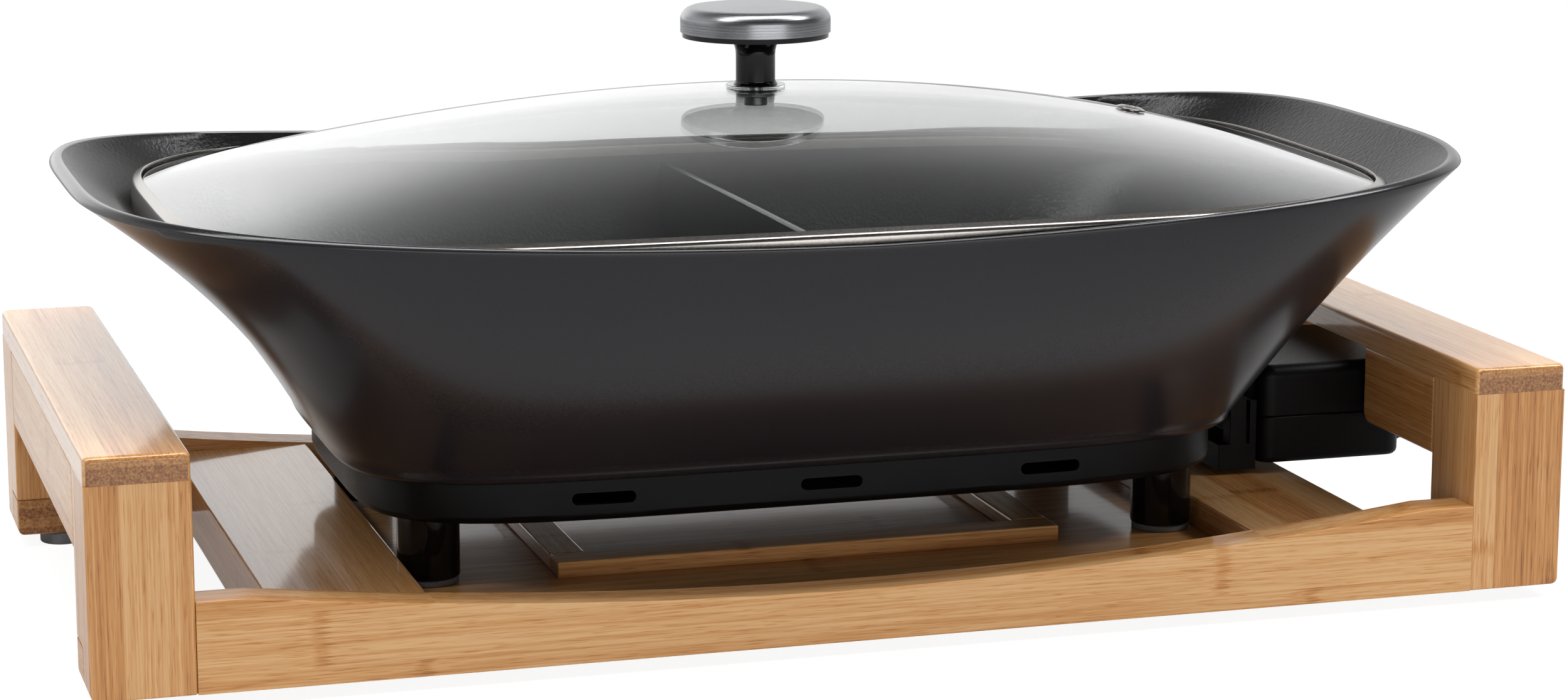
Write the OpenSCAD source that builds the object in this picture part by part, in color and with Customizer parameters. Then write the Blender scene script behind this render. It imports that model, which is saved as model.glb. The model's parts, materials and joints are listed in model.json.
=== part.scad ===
// Electric skillet: a divided flared pan with a glass lid in a bamboo carrying stand, in millimetres
// X runs along the length with the controller at +X, -Y is the front, Z is up from the rubber feet

/* [Stand] */
// Length of the stand over its posts
stand_l = 560; // [552:2:620]
// Depth of the stand over its posts
stand_d = 284; // [276:2:300]
// Side of a square post
post_w = 37; // [32:1:40]
// Thickness of a handle cap
cap_t = 10; // [8:0.5:14]
// Rounding of the edges of a handle cap
cap_round = 2; // [1:0.5:3.5]
// Clear height between the controller and the handle cap
handle_gap = 6.5; // [4:0.5:16]
// Height of the aprons under the handle caps
apron_h = 30.5; // [22:0.5:36]
// Gap between the controller and the right aprons
notch_gap = 2; // [1:0.5:6]
// Thickness of the front and rear rails
rail_t = 16; // [12:1:20]
// Height of the rails at the posts
rail_h = 33.2; // [29:0.2:40]
// Depth of the hollow along the top of a rail
rail_dip = 13.7; // [8:0.1:18]
// Length of the flat at each end of a rail
rail_flat = 19; // [10:1:30]
// Width of the planks at the ends of the base board
plank_w = 55.5; // [45:0.5:58]
// Thickness of the planks
plank_t = 24; // [18:0.5:26]
// Height of the planks above the underside of the posts
plank_lift = 2; // [0.5:0.5:4]
// Thickness of the base board
board_t = 14.4; // [12:0.2:17]
// Length of the ring of strips on the base board
ring_l = 199; // [160:1:230]
// Depth of the ring of strips
ring_d = 154; // [120:1:180]
// Width of a strip
ring_w = 14; // [10:0.5:18]
// Thickness of a strip
ring_t = 6.2; // [4:0.2:8]
// Depth of a foot block let into a post
block_d = 18; // [16:0.5:20]
// Height of a foot block
block_h = 14.4; // [13.5:0.2:18]
// Radius of a rubber foot
foot_r = 9; // [7:0.5:9]
// Height of a rubber foot
foot_h = 5; // [4:0.5:8]
// Radius of a dowel
dowel_r = 4; // [3:0.5:4.5]
// Depth of a dowel in each timber
dowel_in = 15; // [10:1:18]
// Depth of a dowel in a handle cap
dowel_cap = 5.5; // [3:0.5:6]

/* [Pan] */
// Half length of the pan at its bottom
pan_l0 = 174.8; // [170:0.2:180]
// Half width of the pan at its bottom
pan_w0 = 103; // [98:0.5:106]
// Half length of the pan at its rim
pan_l1 = 268.8; // [256:0.2:272]
// Half width of the pan at its rim
pan_w1 = 156; // [150:0.5:160]
// Squareness of the pan at its bottom
pan_n0 = 5; // [4:0.1:6]
// Squareness of the pan at its rim
pan_n1 = 3.7; // [3.2:0.1:4.4]
// Height of the rim in the middle of the long sides
side_h = 91.6; // [88:0.2:98]
// Height of the rim at the ends
ear_h = 105.4; // [102:0.2:112]
// Sweep of the rim from the sides up to the ends
ear_pow = 1.63; // [1.3:0.01:2.2]
// Depth of the slanted edge of the rim at the ends
edge_h = 2.8; // [1.5:0.1:3.5]
// Share of the end flare that is straight
flare_mix = 0.64; // [0.4:0.01:0.8]
// Sweep of the end flare
flare_pow = 2.63; // [2:0.01:3.2]
// Bulge of the long walls
side_pow = 1.6; // [1.3:0.1:2]
// Thickness of the pan wall
pan_wall = 4; // [3:0.1:5]
// Thickness of the pan floor
floor_t = 4; // [3:0.1:6]
// Rounding between the floor and the wall
floor_round = 12; // [8:0.5:16]
// Rounding under the pan
under_round = 4.5; // [3:0.1:6]
// Thickness of the divider
div_t = 3.2; // [2:0.1:5]
// Height of the divider above the floor
div_h = 77; // [60:0.5:78]
// Rounding of the upper corners of the divider
div_round = 9; // [4:0.5:14]
// Gap around the divider
div_gap = 0.3; // [0.2:0.05:0.8]

/* [Heating base] */
// Setback of the skirt from the pan bottom along the length
skirt_back_l = 4.8; // [3.5:0.1:7]
// Setback of the skirt from the pan bottom along the width
skirt_back_w = 2.6; // [1.5:0.1:5]
// Height of the skirt
skirt_h = 15.8; // [15.6:0.1:20]
// Length of the terminal block
block_l = 16; // [14:0.5:18]
// Length of the sleeve for the probe
probe_l = 50; // [40:1:60]
// Wall of the skirt
skirt_t = 2.5; // [1.8:0.1:3]
// Width of the ledge inside the skirt
ledge_w = 4; // [3:0.1:5]
// Length of a vent slot
slot_l = 24; // [16:0.5:32]
// Height of a vent slot
slot_h = 4.5; // [3:0.1:5.5]
// Distance between vent slots
slot_step = 87; // [60:1:92]
// Thickness of the bottom cover
cover_t = 2; // [1.5:0.1:2.5]
// Setback of the legs from the skirt along the length
leg_back_l = 24; // [22:0.5:28]
// Setback of the legs from the skirt along the width
leg_back_w = 34.5; // [30:0.5:38]
// Radius of a leg
leg_r = 11.7; // [9:0.1:13]
// Height of a leg above its pad
leg_h = 24.3; // [23:0.1:30]
// Thickness of a leg pad
pad_t = 2.5; // [1.5:0.1:4]
// Gap between a leg and the planks
leg_gap = 0.8; // [0.5:0.1:3]
// Radius of the heating tube
tube_r = 3.2; // [2.8:0.1:3.3]
// Half width of the heating loop
loop_w = 50; // [42:0.5:52]
// Height of the inlet pins above the bottom cover
pin_up = 10; // [9.8:0.1:10.4]
// Radius of an inlet pin
pin_r = 2.4; // [2:0.1:2.5]
// Distance of each inlet pin from the middle
pin_y = 12.5; // [11.5:0.1:13]

/* [Lid] */
// Height of the lid seat above the pan bottom
lid_seat = 84.5; // [82.5:0.1:87]
// Gap between the lid and the pan at the ends
lid_gap = 0.5; // [0.4:0.05:1.2]
// Gap between the lid and the pan along the sides
lid_side_gap = 6; // [3:0.1:8]
// Height of the steel band
band_h = 9.6; // [9:0.1:13]
// Thickness of the steel band
band_t = 0.8; // [0.6:0.1:1.2]
// Thickness of the glass
glass_t = 4; // [3:0.1:5]
// Rise of the glass
dome_h = 35.4; // [26:0.1:40]
// Sweep of the glass
dome_pow = 2.05; // [1.8:0.05:2.4]
// Distance of the vent from the middle
vent_x = 157; // [130:1:175]
// Radius of the vent
vent_r = 2.6; // [2:0.1:3.5]
// Radius of the knob cap
knob_r = 29.25; // [26:0.25:33]
// Height of the knob cap
knob_cap_h = 9.7; // [9:0.1:13]
// Radius of the knob stem
stem_r = 7.7; // [6.5:0.1:9]
// Height of the knob stem
stem_h = 18.6; // [16:0.1:24]
// Flare of the stem under the knob
stem_flare = 4.6; // [3:0.1:7]

/* [Controller] */
// Distance from the skirt to the nose of the controller
nose_gap = 12.5; // [11:0.5:16]
// Length of the nose
nose_l = 16.2; // [14:0.2:20]
// Length of the housing
ctrl_l = 63.3; // [60:0.1:66]
// Width of the housing
ctrl_w = 82; // [80:1:90]
// Height of the housing above the pins
ctrl_up = 18.8; // [17:0.1:24]
// Gap between the housing and the planks
ctrl_gap = 4; // [2.5:0.1:4.5]
// Gap between the nose and the planks
nose_lift = 1.7; // [1:0.1:3]
// Rounding of the upright edges of the housing
ctrl_round = 7; // [5.5:0.5:9]
// Rounding of the upper edges of the housing
ctrl_top_round = 5; // [2:0.5:5]
// Length of the thermostat block
stat_l = 30; // [26:0.5:32]
// Thickness of the dial
dial_l = 17; // [12:0.5:17.5]
// Radius of the dial
dial_r = 17; // [14:0.5:17.5]
// Radius of the dial shaft
shaft_r = 3; // [2.5:0.1:3.5]
// Radius of the cord passage in the gland
cord_r = 3.6; // [3:0.1:4]
// Running gap between moving parts
run_gap = 0.4; // [0.3:0.05:0.5]

/* [Show] */
// Part to show

/* [Hidden] */
$fn = 64;
// Segments around the pan and the lid
seg = 80;
// Overlap of a cut beyond the surface it opens
cut = 1;
// Fit of a fixed pin in its hole
pin_fit = 0.1;

// Heights
stand_z = foot_h;
board_z = stand_z + board_t;
plank_z = stand_z + plank_lift + plank_t;
base_z = board_z + pad_t + leg_h;
pan_z = base_z + skirt_h;
floor_z = pan_z + floor_t;
pin_z = base_z + pin_up;
cover_z = base_z + cover_t;
ctrl_top = pin_z + ctrl_up;
ctrl_z = plank_z + ctrl_gap;
cap_z = ctrl_top + handle_gap;
lid_z = pan_z + lid_seat;

// Stand plan
post_x = stand_l / 2 - post_w;
post_y = stand_d / 2 - post_w;
rail_y = stand_d / 2 - rail_t;
rail_mid = stand_d / 2 - rail_t / 2;
notch_y = ctrl_w / 2 + notch_gap;
rail_chord = post_x - rail_flat;
rail_r = (rail_chord * rail_chord + rail_dip * rail_dip) / (2 * rail_dip);
foot_x = post_x + post_w / 2;
foot_y = post_y + block_d / 2;

// Base plan
skirt_l = pan_l0 - skirt_back_l;
skirt_w = pan_w0 - skirt_back_w;
leg_x = skirt_l - leg_back_l;
leg_y = skirt_w - leg_back_w;
plank_x = leg_x + leg_r + leg_gap;
tube_z = pan_z - tube_r - 0.2;
plate_z = tube_z - tube_r - 1.4;
block_x1 = skirt_l - skirt_t - 0.6;
block_x0 = block_x1 - block_l;
sleeve_r = 4.2;
sleeve_in_r = 3.1;
probe_r = sleeve_in_r - 0.5;
sleeve_x = block_x0 - probe_l;

// Controller plan
nose_x = skirt_l + nose_gap;
ctrl_x0 = nose_x + nose_l;
ctrl_x1 = ctrl_x0 + ctrl_l;
split_z = pin_z - 1.9;
cave_x0 = ctrl_x0 + 5;
cave_x1 = ctrl_x1 - 9;
cave_y = ctrl_w / 2 - 14;
gland_y = -ctrl_w / 2 + 16;
gland_z = split_z - 10;
lens_z = split_z + 10;
screw_y = ctrl_w / 2 - 6;
contact_r = pin_r + 0.3;

// Mix of two values
function mix(p, q, t) = p + (q - p) * t;
// Angles round a loop
function angles() = [for (i = [0 : seg - 1]) 360 * i / seg];
// Point of a squared circle of half size 1
function squared(th, n) =
    let (c = pow(abs(cos(th)), 0.75), s = pow(abs(sin(th)), 0.75), k = pow(pow(c, n) + pow(s, n), 1 / n))
    [sign(cos(th)) * c / k, sign(sin(th)) * s / k];
// Level loop of a squared outline
function loop(l, w, n, z) = [for (th = angles()) let (u = squared(th, n)) [l * u[0], w * u[1], z]];
// Level loop of a rounded rectangle
function round_loop(x, y, z, l, w, r) = [for (q = [0 : 3]) for (j = [0 : 6])
    let (a = 90 * q + 15 * j, sx = (q == 0 || q == 3) ? 1 : -1, sy = q < 2 ? 1 : -1)
    [x + sx * (l / 2 - r) + r * cos(a), y + sy * (w / 2 - r) + r * sin(a), z]];

// Pan shape, with t running from the bottom to the rim
function half_l(t) = mix(pan_l0, pan_l1, flare_mix * t + (1 - flare_mix) * pow(t, flare_pow));
function half_w(t) = mix(pan_w0, pan_w1, 1 - pow(abs(1 - t), side_pow));
function corner(t) = mix(pan_n0, pan_n1, t);
function ear(th) = pow(abs(squared(th, pan_n1)[0]), ear_pow);
function rim_h(th) = mix(side_h, ear_h, ear(th));
function edge_at(th) = mix(0.8, edge_h, ear(th));
// Point on the wall, which ends below the rim by the drop
function pan_point(th, z, inset, drop = 0) =
    let (t = (z - pan_z) / (rim_h(th) - drop), u = squared(th, corner(t)))
    [(half_l(t) - inset) * u[0], (half_w(t) - inset) * u[1], z];
// Loop on the inside of the wall at the share s of the way up from a level
function wall_loop(z0, s, inset) = [for (th = angles()) pan_point(th, mix(z0, pan_z + rim_h(th), s), inset)];
// Loop on the outside of the wall, which ends under the slanted edge
function outer_loop(z0, s) = [for (th = angles()) let (d = edge_at(th))
    pan_point(th, mix(z0, pan_z + rim_h(th) - d, s), 0, d)];
// Loop along the top of the slanted edge
function edge_loop() = [for (th = angles()) pan_point(th, pan_z + rim_h(th), 0.8 * edge_at(th))];
// Loop on a rounding of radius r at the foot of the wall, a is 0 at the bottom and 90 at the wall
function foot_loop(z0, r, a, inset) = [for (th = angles())
    let (p = pan_point(th, z0 + r, inset + r * (1 - sin(a)))) [p[0], p[1], z0 + r * (1 - cos(a))]];
// Level loop round the flat part of the floor
function floor_loop(z) = [for (p = foot_loop(floor_z, floor_round, 0, pan_wall)) [p[0], p[1], z]];

// Lid outline taken from the inside of the pan at the seat
seat_l = pan_point(0, lid_z, pan_wall)[0];
seat_w = pan_point(90, lid_z, pan_wall)[1];
lid_l = seat_l - lid_gap;
lid_w = seat_w - lid_side_gap;
function lid_point(th, inset) =
    let (p = pan_point(th, lid_z, pan_wall))
    [p[0] * (lid_l - inset) / seat_l, p[1] * (lid_w - inset) / seat_w];
function lid_loop(inset, z) = [for (th = angles()) let (p = lid_point(th, inset)) [p[0], p[1], z]];
glass_in = band_t + 0.3;
glass_z = lid_z + band_h - band_t - 0.3;
apex_z = glass_z + dome_h;
function dome_z(r) = glass_z + dome_h * (1 - pow(r, dome_pow));
function dome_loop(r, drop) = [for (th = angles())
    let (u = squared(th, 2), e = lid_point(th, glass_in))
    [r * mix((lid_l - glass_in) * u[0], e[0], r * r), r * mix((lid_w - glass_in) * u[1], e[1], r * r),
        dome_z(r) - drop]];
knob_z = apex_z + 1.2;
washer_z = apex_z - glass_t - 1.6;
vent_share = vent_x / (lid_l - glass_in);
vent_z = dome_z(vent_share);
vent_tilt = atan(dome_h * dome_pow * pow(vent_share, dome_pow - 1) / (lid_l - glass_in));

// Triangles between two neighbouring loops of m points
function strip(m, p, q) = [for (i = [0 : m - 1]) for (f = [[p * m + i, q * m + i, q * m + (i + 1) % m],
    [p * m + i, q * m + (i + 1) % m, p * m + (i + 1) % m]]) f];
// Points of all loops in one list
function points_of(loops) = [for (l = loops) for (p = l) p];

// Solid through level loops with a face at each end
module loft(loops) {
    m = len(loops[0]);
    last = len(loops) - 1;
    polyhedron(points_of(loops), concat([[for (i = [0 : m - 1]) i]],
        [for (k = [0 : last - 1]) each strip(m, k, k + 1)],
        [[for (i = [m - 1 : -1 : 0]) last * m + i]]), convexity = 8);
}

// Ring through loops that close on the first one
module ring_loft(loops) {
    m = len(loops[0]);
    n = len(loops);
    polyhedron(points_of(loops), [for (k = [0 : n - 1]) each strip(m, k, (k + 1) % n)], convexity = 8);
}

// Box between two corners
module box(p, q) {
    translate(p) cube(q - p);
}

// Round bar along X
module bar_x(x0, x1, y, z, r) {
    translate([x0, y, z]) rotate([0, 90, 0]) cylinder(h = x1 - x0, r = r);
}

// Round bar along Z
module bar_z(x, y, z0, z1, r) {
    translate([x, y, z0]) cylinder(h = z1 - z0, r = r);
}

// Stand
module handle_cap(side) {
    x = side * foot_x;
    difference() {
        loft(concat(
            [round_loop(x, 0, cap_z, post_w, stand_d, cap_round + 1)],
            [for (a = [90 : -30 : 0]) round_loop(x, 0, cap_z + cap_t - cap_round * (1 - cos(a)),
                post_w - 2 * cap_round * (1 - sin(a)), stand_d - 2 * cap_round * (1 - sin(a)),
                cap_round * sin(a) + 1)]));
        for (s = [-1, 1])
            bar_z(x, s * (post_y + post_w / 2), cap_z - cut, cap_z + dowel_cap, dowel_r + pin_fit);
    }
}

module handle_cap_left() color("burlywood") handle_cap(-1);
module handle_cap_right() color("burlywood") handle_cap(1);

module post(sx, sy) {
    y = sy * (post_y + post_w / 2);
    difference() {
        translate([sx * foot_x - post_w / 2, y - post_w / 2, stand_z])
            cube([post_w, post_w, cap_z - stand_z]);
        translate([sx * foot_x, sy * (foot_y - cut / 2), stand_z + (block_h - cut) / 2])
            cube([post_w + 2 * cut, block_d + cut, block_h + cut], center = true);
        bar_z(sx * foot_x, y, cap_z - dowel_in, cap_z + cut, dowel_r + pin_fit);
        for (f = [0.3, 0.7])
            translate([sx * (post_x + dowel_in / 2 - cut / 2), sy * rail_mid, stand_z + f * rail_h])
                rotate([0, 90, 0]) cylinder(h = dowel_in + cut, r = dowel_r + pin_fit, center = true);
    }
}

module post_front_left() color("burlywood") post(-1, -1);
module post_rear_left() color("burlywood") post(-1, 1);
module post_front_right() color("burlywood") post(1, -1);
module post_rear_right() color("burlywood") post(1, 1);

module apron_left() color("tan")
    box([-stand_l / 2, -post_y, cap_z - apron_h], [-post_x, post_y, cap_z]);

// Short apron beside the controller, with its lower inner corner rounded
module short_apron(sy) {
    r = 5;
    h = apron_h;
    translate([post_x, 0, cap_z]) rotate([90, 0, 90]) linear_extrude(post_w)
        polygon([for (p = concat([[post_y, 0], [notch_y, 0], [notch_y, r - h]],
            [for (a = [15 : 15 : 90]) [notch_y + r - r * cos(a), r - h - r * sin(a)]], [[post_y, -h]]))
            [sy * p[0], p[1]]]);
}

module apron_front_right() color("tan") short_apron(-1);
module apron_rear_right() color("tan") short_apron(1);

module rail(sy) {
    difference() {
        translate([-post_x, sy * rail_mid - rail_t / 2, stand_z]) cube([2 * post_x, rail_t, rail_h]);
        translate([0, sy * rail_mid, stand_z + rail_h - rail_dip + rail_r]) rotate([90, 0, 0])
            cylinder(h = rail_t + 2 * cut, r = rail_r, center = true, $fn = 360);
        for (sx = [-1, 1]) for (f = [0.3, 0.7])
            translate([sx * (post_x - dowel_in / 2 + cut / 2), sy * rail_mid, stand_z + f * rail_h])
                rotate([0, 90, 0]) cylinder(h = dowel_in + cut, r = dowel_r + pin_fit, center = true);
    }
}

module front_rail() color("burlywood") rail(-1);
module rear_rail() color("burlywood") rail(1);

module plank(sx) {
    translate([sx * (plank_x + plank_w / 2) - plank_w / 2, -rail_y, stand_z + plank_lift])
        cube([plank_w, 2 * rail_y, plank_t]);
}

module plank_left() color("peru") plank(-1);
module plank_right() color("peru") plank(1);

module base_board() color("tan") box([-plank_x, -rail_y, stand_z], [plank_x, rail_y, board_z]);

module long_strip(sy) {
    translate([-ring_l / 2, sy * (ring_d - ring_w) / 2 - ring_w / 2, board_z]) cube([ring_l, ring_w, ring_t]);
}

module short_strip(sx) {
    translate([sx * (ring_l - ring_w) / 2 - ring_w / 2, ring_w - ring_d / 2, board_z])
        cube([ring_w, ring_d - 2 * ring_w, ring_t]);
}

module ring_strip_front() color("burlywood") long_strip(-1);
module ring_strip_rear() color("burlywood") long_strip(1);
module ring_strip_left() color("burlywood") short_strip(-1);
module ring_strip_right() color("burlywood") short_strip(1);

// Places of the four rubber feet
module at_feet() {
    for (sx = [-1, 1]) for (sy = [-1, 1]) translate([sx * foot_x, sy * foot_y, 0]) children();
}

module foot_blocks() color("tan") at_feet() difference() {
    box([-post_w / 2, -block_d / 2, stand_z], [post_w / 2, block_d / 2, stand_z + block_h]);
    bar_z(0, 0, stand_z - cut, stand_z + 11, 2 + pin_fit);
}

module stand_feet() color("gray") at_feet() difference() {
    cylinder(h = foot_h, r = foot_r);
    bar_z(0, 0, -cut, foot_h - 2.4, 4.6);
    bar_z(0, 0, 0, foot_h + cut, 2 + pin_fit);
}

module stand_foot_screws() color("silver") at_feet() union() {
    bar_z(0, 0, foot_h - 4.4, foot_h - 2.4, 4);
    bar_z(0, 0, foot_h - 2.4, stand_z + 10, 2);
}

module cap_dowels() color("wheat") for (sx = [-1, 1]) for (sy = [-1, 1])
    bar_z(sx * foot_x, sy * (post_y + post_w / 2), cap_z - dowel_in, cap_z + dowel_cap - 0.5, dowel_r);

module rail_dowels() color("wheat") for (sx = [-1, 1]) for (sy = [-1, 1]) for (f = [0.3, 0.7])
    translate([sx * post_x, sy * rail_mid, stand_z + f * rail_h]) rotate([0, 90, 0])
        cylinder(h = 2 * dowel_in - 1, r = dowel_r, center = true);

// Pan and divider
module pan() color("dimgray") ring_loft(concat(
    [for (a = [0 : 30 : 60]) foot_loop(pan_z, under_round, a, 0)],
    [for (s = [0 : 0.125 : 1]) outer_loop(pan_z + under_round, s)],
    [edge_loop()],
    [for (s = [1 : -0.125 : 0]) wall_loop(floor_z + floor_round, s, pan_wall)],
    [for (a = [60 : -30 : 0]) foot_loop(floor_z, floor_round, a, pan_wall)],
    [floor_loop(pan_z)]));

// Flat middle of the pan floor, set into the foot of the wall
module pan_floor() color("dimgray") loft([floor_loop(pan_z), floor_loop(floor_z)]);

// Plate across the middle, shaped to the inside of the pan
module divider() color("gray") {
    top = floor_z + div_h;
    in = pan_wall + div_gap;
    y_top = pan_point(90, top - div_round, in)[1];
    edge = concat([for (a = [0 : 15 : 75]) let (p = pan_point(90, floor_z + floor_round, in + 0.5
            + floor_round * (1 - sin(a)))) [p[1], floor_z + floor_round * (1 - cos(a))]],
        [for (s = [0 : 0.1 : 1]) let (z = mix(floor_z + floor_round, top - div_round, s))
            [pan_point(90, z, in)[1], z]],
        [for (a = [15 : 15 : 90]) [y_top - div_round * (1 - cos(a)), top - div_round * (1 - sin(a))]]);
    n = len(edge) - 1;
    translate([-div_t / 2, 0, 0]) rotate([90, 0, 90]) linear_extrude(div_t)
        polygon(concat(edge, [for (i = [n : -1 : 0]) [-edge[i][0], edge[i][1]]]));
}

// Heating base
module base_skirt() color("black") difference() {
    ring_loft([
        loop(skirt_l - 2.2, skirt_w - 2.2, pan_n0, base_z),
        loop(skirt_l - 0.8, skirt_w - 0.8, pan_n0, base_z + 0.8),
        loop(skirt_l, skirt_w, pan_n0, base_z + 3),
        loop(skirt_l, skirt_w, pan_n0, pan_z),
        loop(skirt_l - skirt_t, skirt_w - skirt_t, pan_n0, pan_z),
        loop(skirt_l - skirt_t, skirt_w - skirt_t, pan_n0, cover_z + 2),
        loop(skirt_l - skirt_t - ledge_w, skirt_w - skirt_t - ledge_w, pan_n0, cover_z + 2),
        loop(skirt_l - skirt_t - ledge_w, skirt_w - skirt_t - ledge_w, pan_n0, cover_z),
        loop(skirt_l - skirt_t - 0.6, skirt_w - skirt_t - 0.6, pan_n0, cover_z),
        loop(skirt_l - skirt_t - 0.6, skirt_w - skirt_t - 0.6, pan_n0, base_z)]);
    for (i = [-1 : 1]) translate([i * slot_step, 0, base_z + skirt_h / 2 + 0.6]) rotate([90, 0, 0]) {
        cube([slot_l - slot_h, slot_h, 2 * pan_w1], center = true);
        for (s = [-1, 1]) translate([s * (slot_l - slot_h) / 2, 0, 0])
            cylinder(h = 2 * pan_w1, r = slot_h / 2, center = true);
    }
    box([leg_x, -pin_y - 10, cover_z - 0.02], [skirt_l + cut, pin_y + 10, pan_z - 1.2]);
}

// Places of the four legs
module at_legs() {
    for (sx = [-1, 1]) for (sy = [-1, 1]) translate([sx * leg_x, sy * leg_y, 0]) children();
}

module bottom_cover() color("black") difference() {
    translate([0, 0, base_z]) linear_extrude(cover_t)
        polygon([for (p = loop(skirt_l - skirt_t - 0.9, skirt_w - skirt_t - 0.9, pan_n0, 0)) [p[0], p[1]]]);
    at_legs() bar_z(0, 0, base_z - cut, cover_z + cut, 2);
    for (i = [-3 : 3]) box([i * 14 - 3, -30, base_z - cut], [i * 14 + 3, 30, cover_z + cut]);
}

// Quarter bend of the heating tube, turned about Z
module tube_bend(x, y, turn, r, sweep) {
    translate([x, y, tube_z]) rotate([0, 0, turn]) rotate_extrude(angle = sweep)
        translate([r, 0]) circle(tube_r, $fn = 32);
}

// Tube looped under the pan, with its ends drawn together at the inlet
module heating_element() color("silver") {
    r = 14;
    x_bend = block_x0 - 10;
    x_run = x_bend - 2 * r;
    x_loop = loop_w - leg_x + 8;
    for (s = [-1, 1]) {
        bar_x(x_bend, block_x0, s * pin_y, tube_z, tube_r);
        tube_bend(x_bend, s * (pin_y + r), s > 0 ? 180 : 90, r, 90);
        translate([x_bend - r, s * (pin_y + r), tube_z]) rotate([s > 0 ? -90 : 90, 0, 0])
            cylinder(h = loop_w - pin_y - 2 * r, r = tube_r);
        tube_bend(x_run, s * (loop_w - r), s > 0 ? 0 : -90, r, 90);
        bar_x(x_loop, x_run, s * loop_w, tube_z, tube_r);
    }
    tube_bend(x_loop, 0, 90, loop_w, 180);
}

module reflector_plate() color("lightgray") difference() {
    box([-leg_x - 8, -leg_y - 8, plate_z], [leg_x + 8, leg_y + 8, plate_z + 1]);
    at_legs() bar_z(0, 0, plate_z - cut, plate_z + 2, 4 + pin_fit);
    box([block_x0 - 4, -pin_y - 12, plate_z - cut], [leg_x + 20, pin_y + 12, plate_z + 2]);
    box([sleeve_x - 3, -sleeve_r - 2, plate_z - cut], [block_x0, sleeve_r + 2, plate_z + 2]);
}

// Studs under the pan, with a shoulder for the reflector plate
module pan_studs() color("silver") at_legs() difference() {
    union() {
        bar_z(0, 0, cover_z, plate_z, 6);
        bar_z(0, 0, plate_z, pan_z, 4);
    }
    bar_z(0, 0, cover_z - cut, cover_z + 9, 1.8 + pin_fit);
}

module terminal_block() color("ivory") difference() {
    box([block_x0, -pin_y - 9, cover_z], [block_x1, pin_y + 9, pan_z - 1.3]);
    for (s = [-1, 1]) bar_x(block_x0 + 4, block_x1 + cut, s * pin_y, pin_z, pin_r + pin_fit);
    bar_x(block_x0 - cut, block_x1 + cut, 0, pin_z, sleeve_r + pin_fit);
    bar_x(block_x0 - cut, block_x0 + 4, pin_y + 4.5, cover_z + 2.9, 1.9 + pin_fit);
}

module inlet_pins() color("gold") for (s = [-1, 1])
    bar_x(block_x0 + 4, skirt_l + nose_gap + 3, s * pin_y, pin_z, pin_r);

module probe_sleeve() color("silver") difference() {
    bar_x(sleeve_x, block_x1, 0, pin_z, sleeve_r);
    bar_x(sleeve_x + 1, block_x1 + cut, 0, pin_z, sleeve_in_r);
}

module thermal_fuse() color("white")
    bar_x(block_x0 - 16, block_x0 + 4, pin_y + 4.5, cover_z + 2.9, 1.9);

module pan_legs() color("black") at_legs() difference() {
    bar_z(0, 0, board_z + pad_t, base_z, leg_r);
    bar_z(0, 0, board_z + pad_t - cut, board_z + pad_t + 14, 4.4);
    bar_z(0, 0, board_z + pad_t, base_z + cut, 1.8 + pin_fit);
}

module leg_pads() color("gray") at_legs() bar_z(0, 0, board_z, board_z + pad_t, leg_r - 0.5);

module leg_screws() color("silver") at_legs() union() {
    bar_z(0, 0, board_z + pad_t + 11.5, board_z + pad_t + 14, 3.6);
    bar_z(0, 0, board_z + pad_t + 14, cover_z + 8, 1.8);
}

// Lid
module lid_glass() color("lightblue", 0.4) difference() {
    shares = [1, 0.9, 0.78, 0.66, 0.54, 0.42, 0.3, 0.18, 0.08];
    n = len(shares) - 1;
    hole = 3.4;
    ring_loft(concat(
        [for (r = shares) dome_loop(r, 0)],
        [loop(hole, hole, 2, apex_z), loop(hole, hole, 2, apex_z - glass_t)],
        [for (i = [n : -1 : 0]) dome_loop(shares[i], glass_t)]));
    translate([vent_x, 0, vent_z]) rotate([0, vent_tilt, 0])
        cylinder(h = 6 * glass_t, r = vent_r + 1.3, center = true);
}

// Rolled band with a lip over and a lip under the edge of the glass
module lid_band() color("silver") {
    top = lid_z + band_h;
    seat = glass_z - glass_t - 0.3;
    ring_loft([
        lid_loop(0, lid_z),
        lid_loop(0, top - 0.8),
        lid_loop(0.6, top),
        lid_loop(4, top + 1.4),
        lid_loop(4, top + 1.4 - band_t),
        lid_loop(band_t, top - band_t),
        lid_loop(band_t, seat),
        lid_loop(4.6, seat),
        lid_loop(4.6, seat - band_t),
        lid_loop(band_t, seat - band_t),
        lid_loop(band_t, lid_z)]);
}

// Eyelet with a flange on each side of the glass
module vent_grommet() color("silver") translate([vent_x, 0, vent_z]) rotate([0, vent_tilt, 0])
    rotate_extrude() polygon([[vent_r, 1.6], [vent_r, -glass_t - 1.2], [vent_r + 2.6, -glass_t - 1.2],
        [vent_r + 2.6, -glass_t - 0.25], [vent_r + 1, -glass_t - 0.25], [vent_r + 1, 0.25],
        [vent_r + 3.4, 0.25], [vent_r + 3.4, 0.8], [vent_r + 1.6, 1.6]]);

// Knob in black plastic: stem, flare, disc and the core of the cap
module knob_body() color("black") translate([0, 0, knob_z]) rotate_extrude() polygon(concat(
    [[2.5, 0], [stem_r + 1, 0], [stem_r, 1.5]],
    [for (a = [0 : 15 : 75]) [stem_r + stem_flare * (1 - cos(a)), stem_h - 7 + 7 * sin(a)]],
    [[stem_r + stem_flare, stem_h], [knob_r - 0.75, stem_h], [knob_r - 0.75, stem_h + 2], [knob_r - 1.5, stem_h + 2],
        [knob_r - 1.5, stem_h + 3.5], [knob_r - 5.5, stem_h + knob_cap_h], [0, stem_h + knob_cap_h],
        [0, stem_h - 4], [2.5, stem_h - 4]]));

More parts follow.
